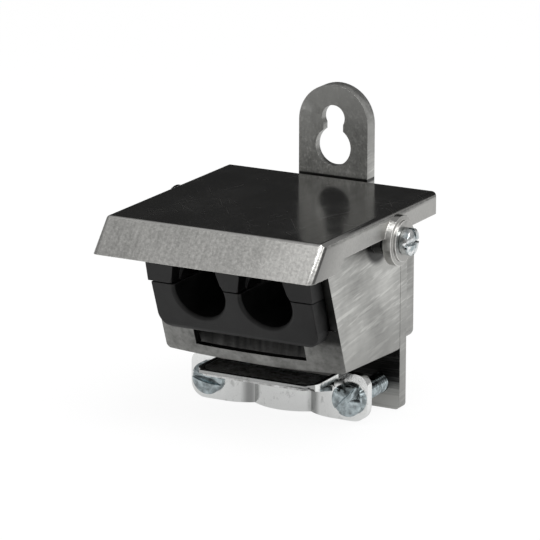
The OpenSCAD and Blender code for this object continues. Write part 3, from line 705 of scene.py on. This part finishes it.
class WEATHERHEAD_OT_clamp_bar(bpy.types.Operator):
    """Add the softened clamp bar and the web that closes the hollow of its lip"""
    bl_idname = "weatherhead.clamp_bar"
    bl_label = "Clamp bar"

    def execute(self, context):
        cast = context.scene.weatherhead_castings
        low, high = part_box("clamp_bar")
        lip_foot = high.z - 1.6 * MM
        lip_half = high.x - 10.2 * MM
        bar_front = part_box("clamp_screw_right")[0].y + 3.2 * MM
        rim = 1.5 * MM
        bm = merged_copy("clamp_bar")
        for vert in bm.verts:
            if vert.co.y < low.y + 3.0 * MM and vert.co.z < lip_foot:
                vert.co.z += cast.lip_thinning
        round_edges(bm, cast.bar_edge, 3)
        bright, raw_painted_shade, shaded_rim = range(3)

        def surface(center, normal):
            # painted shade: the unworked casting's dark colour in the lip's hollow and under the lip
            within = low.y + rim < center.y and abs(center.x) < lip_half
            in_hollow = within and (normal.z > 0.3 or normal.y > 0.3)
            under_lip = normal.z < -0.4 and low.y + 0.8 * MM < center.y < bar_front - 0.5 * MM
            if in_hollow or under_lip:
                return raw_painted_shade
            # a darker copy of the bar's alloy on the lip's rim: painted shade
            on_lip = center.z > lip_foot and center.y < bar_front and abs(center.x) < lip_half + rim
            return shaded_rim if on_lip else bright

        paint(bm, surface)
        finish_piece(bm, "clamp_bar_casting", "clamp_bar",
                     [cast_and_painted_shade_finish("bar_alloy", cast.bar_color, cast.bar_valley_shade),
                      raw_finish(cast.raw_and_shade_color),
                      cast_and_painted_shade_finish("lip_rim", shade(cast.bar_color, 0.42))], ["clamp_bar"])
        self.add_web(cast, low.y + 0.7 * MM, bar_front, lip_half - 0.7 * MM, high.z - 2.1 * MM)
        return {"FINISHED"}

    def add_web(self, cast, front, back, half, height):
        """The thin floor of the lip, with round front corners."""
        thickness = 0.7 * MM
        web = bmesh.new()
        place = Matrix.Translation((0.0, (front + back) / 2, height))
        bmesh.ops.create_cube(web, size=1.0,
                              matrix=place @ Matrix.Diagonal((2.0 * half, back - front, thickness, 1.0)))
        corners = [e for e in web.edges if all(v.co.y < (front + back) / 2 for v in e.verts)
                   and abs(e.verts[0].co.x - e.verts[1].co.x) < 0.1 * MM
                   and abs(e.verts[0].co.z - e.verts[1].co.z) > 0.1 * MM]
        bmesh.ops.bevel(web, geom=corners, offset=5.0 * MM, offset_type="OFFSET", segments=8,
                        profile=0.5, affect="EDGES", clamp_overlap=True, material=-1)
        finish_piece(web, "lip_web", "clamp_bar",
                     [raw_finish(shade(cast.raw_and_shade_color, 9.0), "lip_skin")])


class WEATHERHEAD_OT_pivot_screws(bpy.types.Operator):
    """Add the two pivot screws"""
    bl_idname = "weatherhead.pivot_screws"
    bl_label = "Pivot screws"

    def execute(self, context):
        screws = context.scene.weatherhead_screws
        # a lighter copy of the zinc plating: painted light on the pivot screws
        material = zinc_finish("zinc_painted_light", shade(screws.color, 1.5))
        for side in SIDES:
            bm = merged_copy("hinge_screw_" + side)
            round_edges(bm, screws.edge)
            finish_piece(bm, "pivot_screw_" + side, "housing", [material],
                         ["hinge_screw_" + side])
        return {"FINISHED"}


def cut_thread(bm, axis, start, end, depth, pitch):
    """Thins the shank to its root and winds a ridge around it, from start to end along Y."""
    for vert in bm.verts:
        if start <= vert.co.y:
            out = Vector((vert.co.x - axis.x, 0.0, vert.co.z - axis.z))
            if out.length > THREAD_RADIUS - depth:
                vert.co -= out.normalized() * (out.length - THREAD_RADIUS + depth)
    steps = 24      # round one turn
    turns = math.floor((end - start) / pitch) - 1
    sunk = THREAD_RADIUS - 1.15 * depth     # the ridge's foot, a little inside the shank
    profile = ((sunk, 0.04), (THREAD_RADIUS, 0.44), (THREAD_RADIUS, 0.58), (sunk, 0.98))
    ring = [bm.verts.new((axis.x + r, start + share * pitch, axis.z)) for r, share in profile]
    section = bm.faces.new(ring)
    bmesh.ops.spin(bm, geom=[section, *section.edges, *ring], cent=(axis.x, start, axis.z),
                   axis=(0.0, 1.0, 0.0), dvec=Vector((0.0, pitch / steps, 0.0)),
                   angle=math.tau * turns, steps=steps * turns, use_merge=False, use_duplicate=False)


class WEATHERHEAD_OT_clamp_screws(bpy.types.Operator):
    """Add the two clamp screws with their threads"""
    bl_idname = "weatherhead.clamp_screws"
    bl_label = "Clamp screws"

    def execute(self, context):
        screws = context.scene.weatherhead_screws
        # a slightly darker copy of the zinc plating: painted shade on the clamp screws
        material = zinc_finish("zinc_plating", shade(screws.color, 0.92))
        for side in SIDES:
            node = "clamp_screw_" + side
            low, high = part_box(node)
            axis = Vector(((low.x + high.x) / 2, 0.0, (low.z + high.z) / 2))
            behind_head = low.y + 3.0 * MM
            bm = merged_copy(node)
            round_edges(bm, screws.edge)
            shank_start = min(v.co.y for v in bm.verts if behind_head < v.co.y < high.y)
            cut_thread(bm, axis, shank_start, high.y, screws.thread_depth, screws.pitch)
            bmesh.ops.recalc_face_normals(bm, faces=bm.faces[:])
            finish_piece(bm, node + "_turned", node, [material], [node])
        return {"FINISHED"}


# ---------------------------------------------------------------- stage
class WEATHERHEAD_OT_stage(bpy.types.Operator):
    """Add the floor, the lamps, the cards that the metal mirrors and the camera"""
    bl_idname = "weatherhead.stage"
    bl_label = "Stage"

    def execute(self, context):
        stage = context.scene.weatherhead_stage
        scene = context.scene
        scene.view_settings.view_transform = "Standard"
        self.add_world(scene, stage)
        self.add_floor(scene, stage)
        middle = Vector((0.0, -0.04, -0.03))
        for name, place, power in (("soft_top", (0.25, -0.45, 1.1), 7.0),
                                   ("soft_right", (1.1, 0.1, 0.5), 4.0)):
            self.add_lamp(scene, name, place, middle, 0.6, power)
        for name, place, size, level in (
                ("back_card", (-0.25, 0.66, 0.22), (1.05, 0.60), 0.028),
                ("front_card", (-0.16, -0.40, 0.02), (0.26, 0.26), 0.26),
                ("camera_card", (0.50, -0.92, 0.10), (0.36, 0.9), 0.03),
                ("top_box", (-0.48, -0.42, 0.78), (0.75, 0.75), 0.62)):
            self.add_card(scene, name, place, middle, size, level)
        near_foot = Vector((0.105, -0.225, CAD_BOX[0][2]))
        upwards = near_foot + Vector((0.0, 0.0, 1.0))
        self.add_card(scene, "foot_card", near_foot, upwards, (0.055, 0.34), 0.03, stage.azimuth)
        self.add_camera(scene, stage)
        return {"FINISHED"}

    def add_world(self, scene, stage):
        """White to the camera, and two levels of grey to polished and to matte surfaces."""
        world = bpy.data.worlds.new("studio")
        scene.world = world
        world.use_nodes = True
        tree = world.node_tree
        tree.nodes.clear()
        path = tree.nodes.new("ShaderNodeLightPath")
        out = tree.nodes.new("ShaderNodeOutputWorld")
        shader = self.background(tree, stage.daylight).outputs["Background"]
        for ray, level in (("Is Glossy Ray", stage.mirrored_room), ("Is Camera Ray", 1.0)):
            mix = tree.nodes.new("ShaderNodeMixShader")
            tree.links.new(path.outputs[ray], mix.inputs["Fac"])
            tree.links.new(shader, mix.inputs[1])
            tree.links.new(self.background(tree, level).outputs["Background"], mix.inputs[2])
            shader = mix.outputs["Shader"]
        tree.links.new(shader, out.inputs["Surface"])

    def background(self, tree, level):
        """A world shader of plain white at one level."""
        node = tree.nodes.new("ShaderNodeBackground")
        node.inputs["Color"].default_value = (1.0, 1.0, 1.0, 1.0)
        node.inputs["Strength"].default_value = level
        return node

    def glow(self, tree, level):
        """An emission of plain grey."""
        node = tree.nodes.new("ShaderNodeEmission")
        node.inputs["Color"].default_value = (level, level, level, 1.0)
        return node

    def add_plane(self, scene, name, matrix, width, height, material):
        """A flat piece of the stage."""
        bm = bmesh.new()
        bmesh.ops.create_grid(bm, x_segments=1, y_segments=1, size=0.5,
                              matrix=matrix @ Matrix.Diagonal((width, height, 1.0, 1.0)))
        mesh = bpy.data.meshes.new(name)
        bm.to_mesh(mesh)
        bm.free()
        mesh.materials.append(material)
        plane = bpy.data.objects.new(name, mesh)
        scene.collection.objects.link(plane)
        return plane

    def add_floor(self, scene, stage):
        """A pale floor that keeps the shadow: a glow takes most of its place for two kinds of ray."""
        mat, tree, shader = new_material("pale_floor", (0.9, 0.9, 0.9), 0.0, 0.9)
        path = tree.nodes.new("ShaderNodeLightPath")
        surface = shader.outputs["BSDF"]
        for ray, level, share in (("Is Glossy Ray", stage.mirrored_floor, 0.6),
                                  ("Is Camera Ray", 1.02, 0.9)):
            mix = tree.nodes.new("ShaderNodeMixShader")
            tree.links.new(combine(tree, "MULTIPLY", path.outputs[ray], share), mix.inputs["Fac"])
            tree.links.new(surface, mix.inputs[1])
            tree.links.new(self.glow(tree, level).outputs["Emission"], mix.inputs[2])
            surface = mix.outputs["Shader"]
        tree.links.new(surface, tree.nodes["Material Output"].inputs["Surface"])
        just_below = Matrix.Translation((0.0, 0.0, CAD_BOX[0][2] - 0.3 * MM))
        self.add_plane(scene, "floor", just_below, 12.0, 12.0, mat)

    def add_card(self, scene, name, place, aim, size, level, turn=0.0):
        """A flat card that only mirrored light sees."""
        mat, tree, _ = new_material(name, (level, level, level), 0.0, 0.9)
        tree.links.new(self.glow(tree, level).outputs["Emission"],
                       tree.nodes["Material Output"].inputs["Surface"])
        facing = (aim - Vector(place)).to_track_quat("Z", "Y").to_matrix().to_4x4()
        facing = facing @ Matrix.Rotation(turn, 4, "Z")
        card = self.add_plane(scene, name, Matrix.Translation(place) @ facing, *size, mat)
        card.visible_camera = False
        card.visible_diffuse = False
        card.visible_shadow = False
        card.visible_transmission = False

    def add_lamp(self, scene, name, place, aim, size, power):
        """A square soft lamp turned to aim."""
        light = bpy.data.lights.new(name, "AREA")
        light.shape = "SQUARE"
        light.size = size
        light.energy = power
        lamp = bpy.data.objects.new(name, light)
        scene.collection.objects.link(lamp)
        lamp.location = place
        lamp.rotation_euler = (aim - Vector(place)).to_track_quat("-Z", "Y").to_euler()

    def add_camera(self, scene, stage):
        """The camera, looking at the aim point from the set azimuth and elevation."""
        data = bpy.data.cameras.new("view")
        data.lens = stage.lens
        data.sensor_width = 36.0
        data.clip_end = 20.0
        camera = bpy.data.objects.new("view", data)
        scene.collection.objects.link(camera)
        az, el = stage.azimuth, stage.elevation
        look = Vector((-math.sin(az) * math.cos(el), math.cos(az) * math.cos(el), -math.sin(el)))
        right = Vector((math.cos(az), math.sin(az), 0.0))
        up = right.cross(look)
        turn = Matrix((right, up, -look)).transposed().to_4x4()
        place = Vector(stage.aim) - look * stage.distance
        camera.matrix_world = Matrix.Translation(place) @ turn @ Matrix.Rotation(stage.roll, 4, "Z")
        scene.camera = camera


# ---------------------------------------------------------------- panel and registration
class VIEW3D_PT_weatherhead(bpy.types.Panel):
    """Lists the pieces and their sizes"""
    bl_label = "Weatherhead"
    bl_idname = "VIEW3D_PT_weatherhead"
    bl_space_type = "VIEW_3D"
    bl_region_type = "UI"
    bl_category = "Weatherhead"

    def draw(self, context):
        layout = self.layout
        for attribute in SETTINGS:
            settings = getattr(context.scene, attribute)
            column = layout.column(align=True)
            for name in settings.__annotations__:
                column.prop(settings, name)
        for operator in PIECE_OPERATORS:
            layout.operator(operator.bl_idname)


SETTINGS = {
    "weatherhead_castings": CastingSettings,
    "weatherhead_rubber": RubberSettings,
    "weatherhead_screws": ScrewSettings,
    "weatherhead_stage": StageSettings,
}
PIECE_OPERATORS = (WEATHERHEAD_OT_hood, WEATHERHEAD_OT_housing, WEATHERHEAD_OT_insert,
                   WEATHERHEAD_OT_clamp_bar, WEATHERHEAD_OT_pivot_screws,
                   WEATHERHEAD_OT_clamp_screws, WEATHERHEAD_OT_stage)
CLASSES = (*SETTINGS.values(), *PIECE_OPERATORS, VIEW3D_PT_weatherhead)


def register():
    """Registers the settings, operators and panel."""
    for cls in CLASSES:
        bpy.utils.register_class(cls)
    for attribute, cls in SETTINGS.items():
        setattr(bpy.types.Scene, attribute, bpy.props.PointerProperty(type=cls))


def unregister():
    """Takes back what register did."""
    for attribute in SETTINGS:
        delattr(bpy.types.Scene, attribute)
    for cls in reversed(CLASSES):
        bpy.utils.unregister_class(cls)


def main():
    """Builds every piece and the stage."""
    register()
    bpy.ops.weatherhead.hood()
    bpy.ops.weatherhead.housing()
    bpy.ops.weatherhead.insert()
    bpy.ops.weatherhead.clamp_bar()
    bpy.ops.weatherhead.pivot_screws()
    bpy.ops.weatherhead.clamp_screws()
    bpy.ops.weatherhead.stage()


if __name__ == "__main__":
    main()
